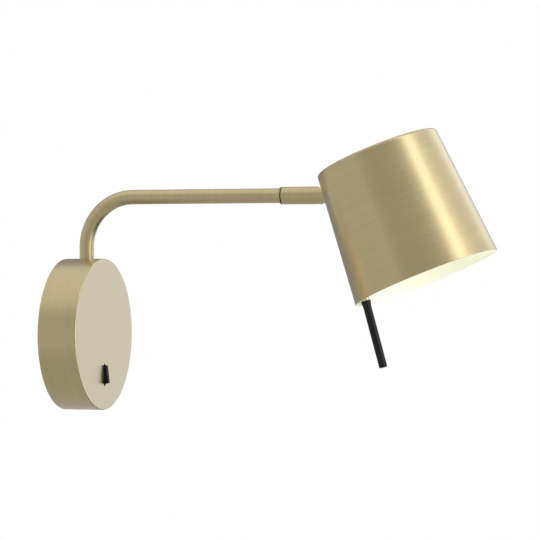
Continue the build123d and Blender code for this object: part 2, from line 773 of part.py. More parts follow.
# Arm lead: the sheathed flex from the terminal block up the arm to the swivel, all inside.
lead_start_height = terminal_height + terminal_block_width / 2 + loose_fit
lead_turn = arm_stand_off - wire_reach
with BuildPart() as arm_lead:
    with BuildLine(side) as lead_path:
        FilletPolyline(
            (wire_reach, lead_start_height),
            (wire_reach, lead_start_height + lead_bend_radius),
            (arm_stand_off, lead_start_height + lead_bend_radius + lead_turn * 2),
            (arm_stand_off, arm_height),
            (spindle_end, arm_height),
            radius=(lead_bend_radius, lead_bend_radius, arm_bend_radius),
        )
    with BuildSketch(level.offset(lead_start_height)):
        with Locations((0, -wire_reach)):
            Circle(lead_diameter / 2)
    sweep(path=lead_path.line)
arm_lead.part.label = "arm_lead"

# ---------------------------------------------------------------- swivel sleeve and fork

# The slot between the fork's ears is open at its end and its top, and has a closed floor at
# its root.  The ears' ends are rounded about the pivot.
fork_cut_size = sleeve_diameter * 2
with BuildSketch(pivot_side) as fork_slot:
    with BuildLine():
        Polyline(
            (-fork_slot_length, fork_cut_size),
            (-fork_slot_length, -fork_floor_height),
            (-fork_floor_length, -sleeve_radius),
            (-fork_floor_length, -fork_cut_size),
            (fork_cut_size, -fork_cut_size),
            (fork_cut_size, fork_cut_size),
            close=True,
        )
    make_face()
with BuildSketch(pivot_side) as fork_end:
    Rectangle(fork_cut_size, fork_cut_size, align=(Align.MIN, Align.CENTER))
    Circle(sleeve_radius, mode=Mode.SUBTRACT)

# The hole for the pivot screw through both ears, countersunk for its head on one side.
pivot_plan = Plane(origin=pivot_point, x_dir=(1, 0, 0), z_dir=(0, 0, 1))
pivot_head_top = sleeve_radius - pivot_head_sink
with BuildSketch(pivot_plan) as pivot_hole:
    with BuildLine():
        Polyline(
            (-sleeve_diameter, 0),
            (-sleeve_diameter, pivot_screw_diameter / 2),
            (pivot_head_top - pivot_head_height, pivot_screw_diameter / 2),
            (pivot_head_top, pivot_head_diameter / 2),
            (sleeve_diameter, pivot_head_diameter / 2),
            (sleeve_diameter, 0),
            close=True,
        )
    make_face()

# Swivel sleeve: turned from bar, bored from the front up to a bulkhead, with the curved
# groove for the stop pin in its back face.
stop_groove_width = stop_pin_diameter + 4 * running_clearance
with BuildPart() as swivel_sleeve:
    with BuildSketch(arm_section.offset(sleeve_start)):
        Circle(sleeve_radius)
    extrude(amount=sleeve_end - sleeve_start)
    fillet(swivel_sleeve.edges().filter_by(GeomType.CIRCLE).sort_by(Axis.Y)[-1], sleeve_edge_radius)
    with BuildSketch(arm_section.offset(sleeve_start + bulkhead_thickness)):
        Circle(sleeve_bore_radius)
    extrude(amount=sleeve_end - sleeve_start, mode=Mode.SUBTRACT)
    with BuildSketch(arm_section.offset(sleeve_start)):
        Circle(spindle_radius + running_clearance)
    extrude(amount=bulkhead_thickness, mode=Mode.SUBTRACT)
    with BuildSketch(arm_section.offset(sleeve_start)) as groove:
        with BuildLine():
            CenterArc((0, 0), stop_pin_circle / 2, stop_land_angle / 2 - 90, 360 - stop_land_angle)
        trace(line_width=stop_groove_width)
    extrude(amount=stop_groove_depth, mode=Mode.SUBTRACT)
    extrude(fork_slot.sketch, amount=fork_slot_width / 2, both=True, mode=Mode.SUBTRACT)
    extrude(fork_end.sketch, amount=sleeve_radius, both=True, mode=Mode.SUBTRACT)
    revolve(pivot_hole.sketch, axis=pivot_axis, mode=Mode.SUBTRACT)
    with BuildSketch(level.offset(arm_height)):
        with Locations((0, -pivot_reach + sleeve_screw_setback)):
            Circle(sleeve_screw_diameter / 2)
    extrude(amount=-sleeve_diameter, mode=Mode.SUBTRACT)
swivel_sleeve.part.label = "swivel_sleeve"

# Fork plug: fills the end of the sleeve, slotted and rounded together with it.
plug_radius = sleeve_bore_radius
with BuildPart() as fork_plug:
    with BuildSketch(arm_section.offset(plug_start)):
        Circle(plug_radius)
        Circle(lead_bore / 2, mode=Mode.SUBTRACT)
    extrude(amount=plug_length)
    extrude(fork_slot.sketch, amount=fork_slot_width / 2, both=True, mode=Mode.SUBTRACT)
    extrude(fork_end.sketch, amount=sleeve_radius, both=True, mode=Mode.SUBTRACT)
    revolve(pivot_hole.sketch, axis=pivot_axis, mode=Mode.SUBTRACT)
    with BuildSketch(level.offset(arm_height)):
        with Locations((0, -pivot_reach + sleeve_screw_setback)):
            Circle(sleeve_screw_diameter / 2)
    extrude(amount=-sleeve_diameter, mode=Mode.SUBTRACT)
fork_plug.part.label = "fork_plug"

# Sleeve screw: a socket grub screw through the underside of the sleeve into the plug.
with BuildPart() as sleeve_screw:
    with BuildSketch(level.offset(arm_height - sleeve_radius)):
        with Locations((0, -pivot_reach + sleeve_screw_setback)):
            Circle(sleeve_screw_diameter / 2)
    extrude(amount=sleeve_radius - lead_bore / 2)
    with BuildSketch(level.offset(arm_height - sleeve_radius)):
        with Locations((0, -pivot_reach + sleeve_screw_setback)):
            RegularPolygon(sleeve_screw_socket / 2, 6, major_radius=False)
    extrude(amount=hex_socket_depth, mode=Mode.SUBTRACT)
sleeve_screw.part.label = "sleeve_screw"

# Pivot screw: countersunk in one ear, threaded into the other, the tilt joint's axle.
with BuildPart() as pivot_screw:
    with BuildSketch(pivot_plan):
        with BuildLine():
            Polyline(
                (pivot_end_sink - sleeve_radius, 0),
                (pivot_end_sink - sleeve_radius, pivot_screw_diameter / 2),
                (pivot_head_top - pivot_head_height, pivot_screw_diameter / 2),
                (pivot_head_top, pivot_head_diameter / 2),
                (pivot_head_top, 0),
                close=True,
            )
        make_face()
    revolve(axis=pivot_axis)
    with BuildSketch(pivot_side.offset(-pivot_head_top)):
        Rectangle(screw_slot_width, pivot_head_diameter)
    extrude(amount=screw_slot_depth, mode=Mode.SUBTRACT)
pivot_screw.part.label = "pivot_screw"

# Pivot washers: one each side of the tongue.
washer_room = (fork_slot_width - tongue_thickness) / 2
with BuildPart() as pivot_washers:
    with BuildSketch(pivot_side.offset(tongue_thickness / 2 + face_gap)):
        Circle(washer_diameter / 2)
        Circle(pivot_screw_diameter / 2 + running_clearance, mode=Mode.SUBTRACT)
    extrude(amount=washer_room - 2 * face_gap)
    mirror(about=Plane.YZ)
pivot_washers.part.label = "pivot_washers"

# ---------------------------------------------------------------- shade

# Shade: a spun tapered cup with a rounded top edge, a smoothed lip and, in its rear wall, the
# slot that the sleeve passes through.  The slot's ends clear the sleeve at the tilt's limits.
limit = radians(tilt_limit)
slot_run = outer_radius(pivot_below_top) - pivot_from_axis
slot_top = pivot_below_top - sleeve_radius / cos(limit) - slot_run * tan(limit) - shade_slot_end_gap
slot_bottom_run = outer_radius(pivot_below_top + sleeve_diameter) - pivot_from_axis
slot_bottom = pivot_below_top + sleeve_radius / cos(limit) + slot_bottom_run * tan(limit) + shade_slot_end_gap
with BuildPart() as shade:
    with BuildSketch(head_side):
        with BuildLine():
            Polyline(
                (0, 0),
                (shade_top_radius, 0),
                (shade_bottom_radius, -shade_height),
                (0, -shade_height),
                close=True,
            )
        make_face()
    revolve(axis=head_axis)
    fillet(shade.edges().filter_by(GeomType.CIRCLE).sort_by(head_axis)[-1], shade_corner_radius)
    with BuildSketch(head_side):
        with BuildLine():
            Polyline(
                (0, -shade_wall),
                (inner_radius(shade_wall), -shade_wall),
                (inner_radius(shade_height), -shade_height),
                (0, -shade_height),
                close=True,
            )
        make_face()
    revolve(axis=head_axis, mode=Mode.SUBTRACT)
    fillet(shade.edges().filter_by(GeomType.CIRCLE).group_by(head_axis)[0], shade_lip_radius)
    with BuildSketch(Plane(origin=shade_top, x_dir=(1, 0, 0), z_dir=rear)):
        with Locations((0, slot_top)):
            RectangleRounded(
                sleeve_diameter + 2 * shade_slot_side_gap,
                slot_bottom - slot_top,
                shade_slot_corner,
                align=(Align.CENTER, Align.MIN),
            )
    extrude(amount=shade_bottom_radius, mode=Mode.SUBTRACT)
shade.part.label = "shade"

# Shade studs: two threaded studs welded under the shade's top.
bracket_seat = shade_wall + face_gap
with BuildPart() as shade_studs:
    with BuildSketch(head.offset(-shade_wall)):
        with GridLocations(stud_spacing, 0, 2, 1):
            Circle(stud_diameter / 2)
    extrude(amount=-stud_length)
shade_studs.part.label = "shade_studs"

# The handle's line runs down beside the shade's rear wall and out of its mouth.
rod_slope = tan(radians(rod_angle))
rod_radius = rod_diameter / 2
rod_rim_offset = inner_radius(shade_height) - rod_wall_gap - rod_radius / cos(radians(rod_angle))
rod_start_offset = rod_rim_offset - (shade_height - rod_start) * rod_slope
rod_down = (down + rear * rod_slope).normalized()
rod_origin = shade_top + rear * rod_start_offset + down * rod_start
rod_section = Plane(origin=rod_origin, x_dir=(1, 0, 0), z_dir=-rod_down)
rod_side = Plane(origin=rod_origin, x_dir=Vector(1, 0, 0).cross(rod_down), z_dir=(1, 0, 0))
rod_axis = Axis(rod_origin, rod_down)

# Head bracket: a plate under the shade's top, a web down to the eye that turns on the pivot
# screw, and below the eye a lobe that ends in the boss for the handle.
plate_bottom = bracket_seat + bracket_thickness
with BuildPart() as head_bracket:
    with BuildSketch(head.offset(-bracket_seat)) as bracket_outline:
        Circle(bracket_disc_diameter / 2)
        Rectangle(bracket_strap_width, web_rear, align=(Align.CENTER, Align.MIN))
        fillet(bracket_outline.vertices().group_by(Axis.Y)[-1], bracket_strap_width / 3)
        fillet(bracket_outline.vertices().sort_by(Axis.X)[1:-1].group_by(Axis.Y)[0], bracket_fillet)
        with GridLocations(stud_spacing, 0, 2, 1):
            Circle(stud_diameter / 2 + running_clearance, mode=Mode.SUBTRACT)
    extrude(amount=-bracket_thickness)
    with BuildSketch(head_side):
        with BuildLine():
            Polyline(
                (web_front, -plate_bottom),
                (web_rear, -plate_bottom),
                (web_rear, -plate_bottom - face_gap),
                (web_front, -plate_bottom - face_gap),
                close=True,
            )
        make_face()
        with Locations((pivot_from_axis, -pivot_below_top)):
            Circle(eye_diameter / 2)
        make_hull()
        with BuildLine():
            Line((pivot_from_axis, -pivot_below_top), (rod_start_offset, -rod_start - boss_length / 4))
        trace(line_width=lobe_width)
        with Locations((pivot_from_axis, -pivot_below_top)):
            Circle(pivot_screw_diameter / 2 + running_clearance, mode=Mode.SUBTRACT)
    extrude(amount=tongue_thickness / 2, both=True)
    with BuildSketch(rod_section):
        Circle(boss_diameter / 2)
    extrude(amount=-boss_length)
    with BuildSketch(rod_section.offset(-boss_length)):
        Circle(rod_thread_diameter / 2)
    extrude(amount=boss_length * 3 / 4, mode=Mode.SUBTRACT)
    with Locations(head.offset(-bracket_seat)):
        with GridLocations(0, holder_screw_spacing, 1, 2):
            CounterSinkHole(
                radius=holder_screw_diameter / 2,
                counter_sink_radius=holder_screw_head / 2,
                depth=bracket_thickness,
                counter_sink_angle=90,
            )
head_bracket.part.label = "head_bracket"

# Bracket nuts: two hexagon nuts on the shade's studs.
with BuildPart() as bracket_nuts:
    with BuildSketch(head.offset(-plate_bottom)):
        with GridLocations(stud_spacing, 0, 2, 1):
            RegularPolygon(stud_nut_size / 2, 6, major_radius=False)
            Circle(stud_diameter / 2, mode=Mode.SUBTRACT)
    extrude(amount=-stud_nut_thickness)
bracket_nuts.part.label = "bracket_nuts"

# Lampholder: a glazed ceramic block with a recess for the lamp's foot and two pin holes.
holder_bottom = plate_bottom + holder_height
holder_screw_depth = holder_screw_length - bracket_thickness
with BuildPart() as lampholder:
    with BuildSketch(head.offset(-plate_bottom)):
        RectangleRounded(holder_length, holder_width, holder_corner)
    extrude(amount=-holder_height)
    with BuildSketch(head.offset(-holder_bottom)):
        Rectangle(holder_recess_length, holder_recess_width)
    extrude(amount=holder_recess_depth, mode=Mode.SUBTRACT)
    with BuildSketch(head.offset(-holder_bottom)):
        with GridLocations(pin_spacing, 0, 2, 1):
            Circle(pin_hole_diameter / 2)
    extrude(amount=holder_recess_depth + pin_length + loose_fit, mode=Mode.SUBTRACT)
    with BuildSketch(head.offset(-plate_bottom)):
        with GridLocations(0, holder_screw_spacing, 1, 2):
            Circle(holder_screw_diameter / 2)
    extrude(amount=-holder_screw_depth, mode=Mode.SUBTRACT)
lampholder.part.label = "lampholder"

# Holder screws: two countersunk screws down through the bracket's plate.
holder_head_height = (holder_screw_head - holder_screw_diameter) / 2
with BuildPart() as holder_screws:
    with BuildSketch(head.offset(-bracket_seat)):
        with GridLocations(0, holder_screw_spacing, 1, 2):
            Circle(holder_screw_diameter / 2)
    extrude(amount=-holder_screw_length)
    with Locations(head.offset(-bracket_seat)):
        with GridLocations(0, holder_screw_spacing, 1, 2):
            Cone(
                holder_screw_diameter / 2,
                holder_screw_head / 2,
                holder_head_height,
                align=(Align.CENTER, Align.CENTER, Align.MAX),
            )
holder_screws.part.label = "holder_screws"

# Lamp: a two-pin capsule with a base, two pins, a lit core and a frosted envelope.
foot_top = holder_bottom - holder_recess_depth + face_gap
base_top = holder_bottom + loose_fit
base_bottom = base_top + lamp_base_height
with BuildPart() as lamp_base:
    with BuildSketch(head.offset(-foot_top)):
        Rectangle(lamp_foot_length, lamp_foot_width)
    extrude(amount=foot_top - base_top)
    with BuildSketch(head.offset(-base_top)):
        Circle(lamp_base_diameter / 2)
    extrude(amount=-lamp_base_height)
    chamfer(lamp_base.edges().filter_by(GeomType.CIRCLE).sort_by(head_axis)[-1], lamp_base_chamfer)
lamp_base.part.label = "lamp_base"

with BuildPart() as lamp_pins:
    with BuildSketch(head.offset(-foot_top)):
        with GridLocations(pin_spacing, 0, 2, 1):
            Circle(pin_diameter / 2)
    extrude(amount=pin_length)
lamp_pins.part.label = "lamp_pins"

with BuildPart() as lamp_core:
    with BuildSketch(head.offset(-base_bottom)):
        RegularPolygon(core_width / 2, 6)
    extrude(amount=-core_length)
lamp_core.part.label = "lamp_core"

envelope_radius = envelope_diameter / 2
envelope_tip = base_bottom + envelope_length
with BuildPart() as lamp_envelope:
    with BuildSketch(head_side):
        with BuildLine():
            Line((envelope_radius - envelope_wall, -base_bottom), (envelope_radius, -base_bottom))
            Line((envelope_radius, -base_bottom), (envelope_radius, envelope_radius - envelope_tip))
            RadiusArc((envelope_radius, envelope_radius - envelope_tip), (0, -envelope_tip), envelope_radius)
            Line((0, -envelope_tip), (0, envelope_wall - envelope_tip))
            RadiusArc(
                (0, envelope_wall - envelope_tip),
                (envelope_radius - envelope_wall, envelope_radius - envelope_tip),
                envelope_wall - envelope_radius,
            )
            Line(
                (envelope_radius - envelope_wall, envelope_radius - envelope_tip),
                (envelope_radius - envelope_wall, -base_bottom),
            )
        make_face()
    revolve(axis=head_axis)
lamp_envelope.part.label = "lamp_envelope"

# ---------------------------------------------------------------- handle

# Handle rod: a plated rod screwed into the bracket's boss, with a threaded end for the grip.
grip_top = (shade_height - grip_start_above_rim - rod_start) / cos(radians(rod_angle))
grip_end = (shade_height + grip_reach_below_rim - rod_start) / cos(radians(rod_angle))
with BuildPart() as handle_rod:
    with BuildSketch(rod_section.offset(-boss_length)):
        Circle(rod_thread_diameter / 2)
    extrude(amount=boss_length * 3 / 4 - loose_fit)
    with BuildSketch(rod_section.offset(-boss_length)):
        Circle(rod_radius)
    extrude(amount=boss_length - grip_top)
    with BuildSketch(rod_section.offset(-grip_top)):
        Circle(grip_thread_diameter / 2)
    extrude(amount=-grip_thread_length)
handle_rod.part.label = "handle_rod"

# Handle grip: a black turned grip with a collar at its top and a rounded end.
collar_radius = grip_collar_diameter / 2
taper_end = grip_top + grip_collar_length + grip_collar_taper
with BuildPart() as handle_grip:
    with BuildSketch(rod_side) as grip_profile:
        with BuildLine():
            Polyline(
                (0, -grip_top),
                (collar_radius, -grip_top),
                (collar_radius, -grip_top - grip_collar_length),
                (rod_radius, -taper_end),
                (rod_radius, -grip_end),
                (0, -grip_end),
                close=True,
            )
        make_face()
    revolve(axis=rod_axis)
    fillet(handle_grip.edges().filter_by(GeomType.CIRCLE).sort_by(rod_axis)[-1], grip_end_radius)
    with BuildSketch(rod_section.offset(-grip_top)):
        Circle(grip_thread_diameter / 2)
    extrude(amount=-grip_thread_length - loose_fit, mode=Mode.SUBTRACT)
handle_grip.part.label = "handle_grip"

# ---------------------------------------------------------------- export

sub_parts = [
    wall_plate,
    cable_grommet,
    cover_screw,
    terminal_block,
    terminal_inserts,
    terminal_screws,
    block_screws,
    earth_washer,
    earth_screw,
    canopy_cover,
    switch_studs,
    switch_body,
    switch_nuts,
    switch_tabs,
    switch_connectors,
    switch_leads,
    switch_rocker,
    clamp_block,
    arm_screw,
    arm_tube,
    arm_lead,
    ferrule,
    spindle,
    swivel_washer,
    stop_pin,
    disc_spring,
    swivel_nut,
    swivel_sleeve,
    fork_plug,
    sleeve_screw,
    pivot_screw,
    pivot_washers,
    shade,
    shade_studs,
    head_bracket,
    bracket_nuts,
    lampholder,
    holder_screws,
    lamp_base,
    lamp_pins,
    lamp_core,
    lamp_envelope,
    handle_rod,
    handle_grip,
]
os.makedirs("parts", exist_ok=True)
for sub_part in sub_parts:
    export_step(sub_part.part, f"parts/{sub_part.part.label}.step")
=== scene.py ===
from math import cos, pi, radians, sin

import bmesh
import bpy
from mathutils import Matrix, Vector


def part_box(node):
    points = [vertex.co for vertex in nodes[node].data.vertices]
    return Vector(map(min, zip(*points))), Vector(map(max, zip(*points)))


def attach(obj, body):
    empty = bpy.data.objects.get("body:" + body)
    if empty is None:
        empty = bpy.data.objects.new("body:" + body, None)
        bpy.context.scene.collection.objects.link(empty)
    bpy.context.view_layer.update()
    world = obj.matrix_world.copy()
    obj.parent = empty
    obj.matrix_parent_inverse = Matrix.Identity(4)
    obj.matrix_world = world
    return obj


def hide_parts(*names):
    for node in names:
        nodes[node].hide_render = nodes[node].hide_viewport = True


# Bedside wall reading lamp, in metres.  +Z is up, the wall is the plane y = 0 and the lamp
# reaches out from it along -Y.  The sections follow the lamp from the wall to the handle.
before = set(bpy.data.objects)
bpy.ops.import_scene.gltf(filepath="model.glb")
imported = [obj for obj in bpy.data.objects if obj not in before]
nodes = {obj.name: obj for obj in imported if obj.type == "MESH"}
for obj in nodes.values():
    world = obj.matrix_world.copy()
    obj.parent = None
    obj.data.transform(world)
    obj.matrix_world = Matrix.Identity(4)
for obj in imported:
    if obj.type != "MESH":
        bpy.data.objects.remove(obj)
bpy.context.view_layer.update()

# ---------------------------------------------------------------- camera
# A long lens two metres from the lamp, to its left, at its own height and nearly in line
# with the wall.  It was fitted to the outlines of the canopy, the arm and the shade.
camera_place = Vector((-1.765112, -0.742355, 0.069532))
camera_yaw = radians(-71.6251)
camera_pitch = radians(0.7032)
camera_roll = radians(-0.2568)
camera_data = bpy.data.cameras.new("camera")
camera_data.sensor_width = 36
camera_data.lens = 174.253
camera_data.clip_start = 0.1
camera_data.clip_end = 50
camera = bpy.data.objects.new("camera", camera_data)
camera.matrix_world = (
    Matrix.Translation(camera_place)
    @ Matrix.Rotation(camera_yaw, 4, "Z")
    @ Matrix.Rotation(pi / 2 - camera_pitch, 4, "X")
    @ Matrix.Rotation(camera_roll, 4, "Z")
)
bpy.context.scene.collection.objects.link(camera)
bpy.context.scene.camera = camera
bpy.context.scene.view_settings.view_transform = "Standard"


# ---------------------------------------------------------------- studio
# A white surround that the camera and the metal see, over a pale floor well below the lamp.
# The nodes of every material and of the surround are written with the two classes below.
class Wire:
    """An output of a node, so that sums on patterns and masks read as Python expressions."""

    def __init__(self, board, socket):
        self.board = board
        self.socket = socket

    def sum(self, operation, first, second):
        return self.board.node("ShaderNodeMath", {"operation": operation}, {0: first, 1: second})

    def __add__(self, other):
        return self.sum("ADD", self, other)

    def __sub__(self, other):
        return self.sum("SUBTRACT", self, other)

    def __rsub__(self, other):
        return self.sum("SUBTRACT", other, self)

    def __mul__(self, other):
        return self.sum("MULTIPLY", self, other)

    def __truediv__(self, other):
        return self.sum("DIVIDE", self, other)

    def __gt__(self, other):
        return self.sum("GREATER_THAN", self, other)

    def __or__(self, other):
        return self.sum("MAXIMUM", self, other)


class Board:
    """A node tree and the one way that nodes are put on it."""

    def __init__(self, tree):
        self.tree = tree

    def node(self, kind, settings, values, output=0):
        """Adds a node, sets it up, fills or wires its sockets and gives one of its outputs."""
        made = self.tree.nodes.new(kind)
        for name, value in settings.items():
            setattr(made, name, value)
        for socket, value in values.items():
            for one in value if isinstance(value, list) else [value]:
                if isinstance(one, Wire):
                    self.tree.links.new(one.socket, made.inputs[socket])
                else:
                    made.inputs[socket].default_value = one
        return Wire(self, made.outputs[output])

    def join(self, wire, node_name, socket):
        """Wires an output to a socket of a node that the tree already has."""
        self.tree.links.new(wire.socket, self.tree.nodes[node_name].inputs[socket])


surround = bpy.data.worlds.new("surround")
surround.use_nodes = True
bpy.context.scene.world = surround
soft_light = 0.8
sky = Board(surround.node_tree)
seen = (
    sky.node("ShaderNodeLightPath", {}, {}, "Is Camera Ray")
    | sky.node("ShaderNodeLightPath", {}, {}, "Is Glossy Ray")
    | sky.node("ShaderNodeLightPath", {}, {}, "Is Transmission Ray")
)
sky.join(seen * (1 - soft_light) + soft_light, "Background", "Strength")
surround.node_tree.nodes["Background"].inputs["Color"].default_value = (1, 1, 1, 1)

floor_height = -0.6
floor_radius = 1.6
floor_mesh = bpy.data.meshes.new("floor")
floor_form = bmesh.new()
bmesh.ops.create_circle(
    floor_form,
    cap_ends=True,
    segments=96,
    radius=floor_radius,
    matrix=Matrix.Translation((0, 0, floor_height)),
)
floor_form.to_mesh(floor_mesh)
floor_form.free()
floor = bpy.data.objects.new("floor", floor_mesh)
bpy.context.scene.collection.objects.link(floor)
floor_paint = bpy.data.materials.new("floor_paint")
floor_paint.use_nodes = True
pale = Board(floor_paint.node_tree)
pale_shader = floor_paint.node_tree.nodes["Principled BSDF"]
pale_shader.inputs["Base Color"].default_value = (0.82, 0.82, 0.81, 1)
pale_shader.inputs["Roughness"].default_value = 0.9
pale_shader.inputs["Emission Color"].default_value = (1, 1, 1, 1)
floor_lift = 0.24
to_camera = pale.node("ShaderNodeLightPath", {}, {}, "Is Camera Ray")
pale.join(to_camera * floor_lift, "Principled BSDF", "Emission Strength")
floor_mesh.materials.append(floor_paint)


def around_lamp(azimuth, elevation, distance):
    """A place round the lamp's middle, and the turn that makes a light or screen face it."""
    middle = Vector((0, -0.15, 0.07))
    turn, rise = radians(azimuth), radians(elevation)
    out = Vector((sin(turn) * cos(rise), -cos(turn) * cos(rise), sin(rise)))
    facing = out.to_track_quat("Z", "Y").to_matrix().to_4x4()
    return Matrix.Translation(middle + out * distance) @ facing


# Softboxes: name, azimuth, elevation, distance, width, height and how bright its cloth looks.
for name, azimuth, elevation, distance, width, height, glow in (
    ("softbox_front", -14, 20, 3.0, 0.95, 2.9, 1.8),
    ("softbox_low", -3, 0, 3.0, 1.2, 2.8, 2.6),
    ("softbox_high", -30, 62, 3.0, 1.0, 1.8, 0.9),
    ("softbox_right", 68, 28, 3.0, 1.4, 1.4, 0.55),
):
    box_light = bpy.data.lights.new(name, "AREA")
    box_light.shape = "RECTANGLE"
    box_light.size = width
    box_light.size_y = height
    box_light.energy = glow * pi * width * height
    softbox = bpy.data.objects.new(name, box_light)
    softbox.matrix_world = around_lamp(azimuth, elevation, distance)
    bpy.context.scene.collection.objects.link(softbox)

# Grey screens that stand round the set and show only in the metal, as the dim side of a
# studio does: name, azimuth, elevation, distance, width, height and grey.
for name, azimuth, elevation, distance, width, height, grey in (
    ("screen_camera", -72, 10, 3.0, 5.4, 4.4, 0.53),
    ("screen_corner", 122, 14, 3.0, 4.4, 3.6, 0.3),
    ("screen_wall", -152, 5, 2.8, 3.8, 3.6, 0.7),
    ("screen_floor", 0, -90, 0.655, 3.0, 3.0, 0.55),
    ("screen_low", 35, -42, 0.68, 0.9, 0.55, 0.15),
):
    screen_mesh = bpy.data.meshes.new(name)
    screen_form = bmesh.new()
    bmesh.ops.create_grid(
        screen_form,
        size=0.5,
        matrix=around_lamp(azimuth, elevation, distance) @ Matrix.Diagonal((width, height, 1, 1)),
    )
    screen_form.to_mesh(screen_mesh)
    screen_form.free()
    screen = bpy.data.objects.new(name, screen_mesh)
    bpy.context.scene.collection.objects.link(screen)
    cloth = bpy.data.materials.new(name + "_cloth")
    cloth.use_nodes = True
    cloth_board = Board(cloth.node_tree)
    cloth_colour = {"Color": (grey, grey, grey, 1), "Strength": 1}
    cloth_glow = cloth_board.node("ShaderNodeEmission", {}, cloth_colour)
    cloth_board.join(cloth_glow, "Material Output", "Surface")
    screen_mesh.materials.append(cloth)
    screen.visible_camera = False
    screen.visible_diffuse = False
    screen.visible_transmission = False
    screen.visible_shadow = False


# ---------------------------------------------------------------- wall plate
# A disc of zinc-plated steel that two screws hold on the wall, with a rubber grommet in its
# cable hole.  The canopy hangs on its two hooks and a grub screw at the bottom draws it in.
class Finish(Board):
    """A material: its Principled shader's plain values, and the patterns that feed it."""

    def __init__(self, name, plain):
        self.material = bpy.data.materials.new(name)
        self.material.use_nodes = True
        super().__init__(self.material.node_tree)
        self.shader = self.tree.nodes["Principled BSDF"]
        for socket, value in plain.items():
            self.shader.inputs[socket].default_value = value

    def feed(self, socket, wire):
        self.join(wire, "Principled BSDF", socket)

    def fed(self, socket):
        """What already feeds a socket of the shader."""
        return Wire(self, self.shader.inputs[socket].links[0].from_socket)

    def place(self, centre=(0, 0, 0), axis=(0, 0, 1)):
        """The surface's own place, measured from a centre, with Z along an axis."""
        turn = Vector(axis).to_track_quat("Z", "Y").to_euler()
        here = self.node("ShaderNodeTexCoord", {}, {}, "Object")
        values = {"Vector": here, "Location": centre, "Rotation": turn}
        return self.node("ShaderNodeMapping", {"vector_type": "TEXTURE"}, values)

    def grain(self, place, size):
        """Soft noise from 0 to 1 in grains of a size."""
        values = {"Vector": place, "Scale": 1 / size, "Detail": 2.0}
        return self.node("ShaderNodeTexNoise", {}, values, "Fac")

    def flat(self, place):
        """The place with nothing along its Z axis."""
        values = {0: place, 1: (1, 1, 0)}
        return self.node("ShaderNodeVectorMath", {"operation": "MULTIPLY"}, values)

    def from_axis(self, place):
        """How far the surface is from the place's Z axis."""
        values = {0: self.flat(place)}
        return self.node("ShaderNodeVectorMath", {"operation": "LENGTH"}, values, "Value")

    def along(self, place):
        """How far along the place's Z axis the surface is."""
        return self.node("ShaderNodeSeparateXYZ", {}, {0: place}, "Z")

    def lines(self, place, pitch, change):
        """Noise in fine lines of a pitch round the place's Z axis.  The more change, the more
        often a line fades and comes back on its way round."""
        to_surface = {0: self.flat(place)}
        way = self.node("ShaderNodeVectorMath", {"operation": "NORMALIZE"}, to_surface)
        run = self.node("ShaderNodeVectorMath", {"operation": "SCALE"}, {0: way, "Scale": change})
        across = (self.from_axis(place) + self.along(place)) / pitch
        step = self.node("ShaderNodeCombineXYZ", {}, {"Z": across})
        at = self.node("ShaderNodeVectorMath", {"operation": "ADD"}, {0: run, 1: step})
        values = {"Vector": at, "Scale": 1.0, "Detail": 2.0}
        return self.node("ShaderNodeTexNoise", {}, values, "Fac")

    def blend(self, mask, low, high):
        """A colour between two colours."""
        values = {0: mask, 6: low, 7: high}
        return self.node("ShaderNodeMix", {"data_type": "RGBA"}, values, 2)

    def relief(self, height, depth):
        """A height pattern from 0 to 1 as a relief of a depth, into the shader's normal."""
        values = {"Height": height, "Strength": 1.0, "Distance": depth}
        self.feed("Normal", self.node("ShaderNodeBump", {}, values))

    def cover(self, *names):
        """Puts the finish on CAD nodes."""
        for name in names:
            for slot in nodes[name].material_slots:
                slot.material = self.material


def mottled(name, low, high, size, roughness, depth, plain):
    """A finish with grains of a size in its colour, its roughness and a relief of a depth."""
    made = Finish(name, plain)
    grains = made.grain(made.place(), size)
    made.feed("Base Color", made.blend(grains, low, high))
    made.feed("Roughness", grains * 0.1 + (roughness - 0.05))
    made.relief(grains, depth)
    return made


zinc = mottled(
    "zinc_plate",
    (0.50, 0.52, 0.55, 1),
    (0.66, 0.67, 0.69, 1),
    0.0025,
    0.30,
    0.00002,
    {"Metallic": 1.0},
)
zinc.cover("wall_plate", "cover_screw", "earth_washer", "earth_screw")
soft_rubber = mottled(
    "soft_rubber",
    (0.02, 0.02, 0.02, 1),
    (0.035, 0.035, 0.034, 1),
    0.0004,
    0.7,
    0.00003,
    {},
)
soft_rubber.cover("cable_grommet")

# ---------------------------------------------------------------- terminal block
# A moulded nylon block with three brass inserts, screwed to the plate.  The sheathed flex to
# the lamp and the two wires of the switch leave it.
nylon = mottled(
    "white_nylon",
    (0.78, 0.78, 0.75, 1),
    (0.86, 0.86, 0.83, 1),
    0.0012,
    0.42,
    0.00001,
    {},
)
nylon.cover("terminal_block", "switch_connectors")
brass = mottled(
    "turned_brass",
    (0.56, 0.37, 0.13, 1),
    (0.72, 0.50, 0.20, 1),
    0.0008,
    0.24,
    0.000006,
    {"Metallic": 1.0},
)
brass.cover("terminal_inserts", "switch_tabs")
zinc.cover("terminal_screws", "block_screws")
sheath = mottled(
    "flex_sheath",
    (0.70, 0.70, 0.67, 1),
    (0.78, 0.78, 0.75, 1),
    0.0015,
    0.5,
    0.00001,
    {},
)
sheath.cover("arm_lead", "switch_leads")

# ---------------------------------------------------------------- canopy
# A cup spun from sheet metal, brushed round its axis on the lathe, plated matt gold and
# lacquered.  The arm, the switch and the cover screw pass through it.
gold_high = (0.560, 0.431, 0.156, 1)
gold_low = (0.348, 0.267, 0.085, 1)
lacquered = {"Metallic": 1.0, "Coat Weight": 1.0, "Coat Roughness": 0.32, "Coat IOR": 2.2}


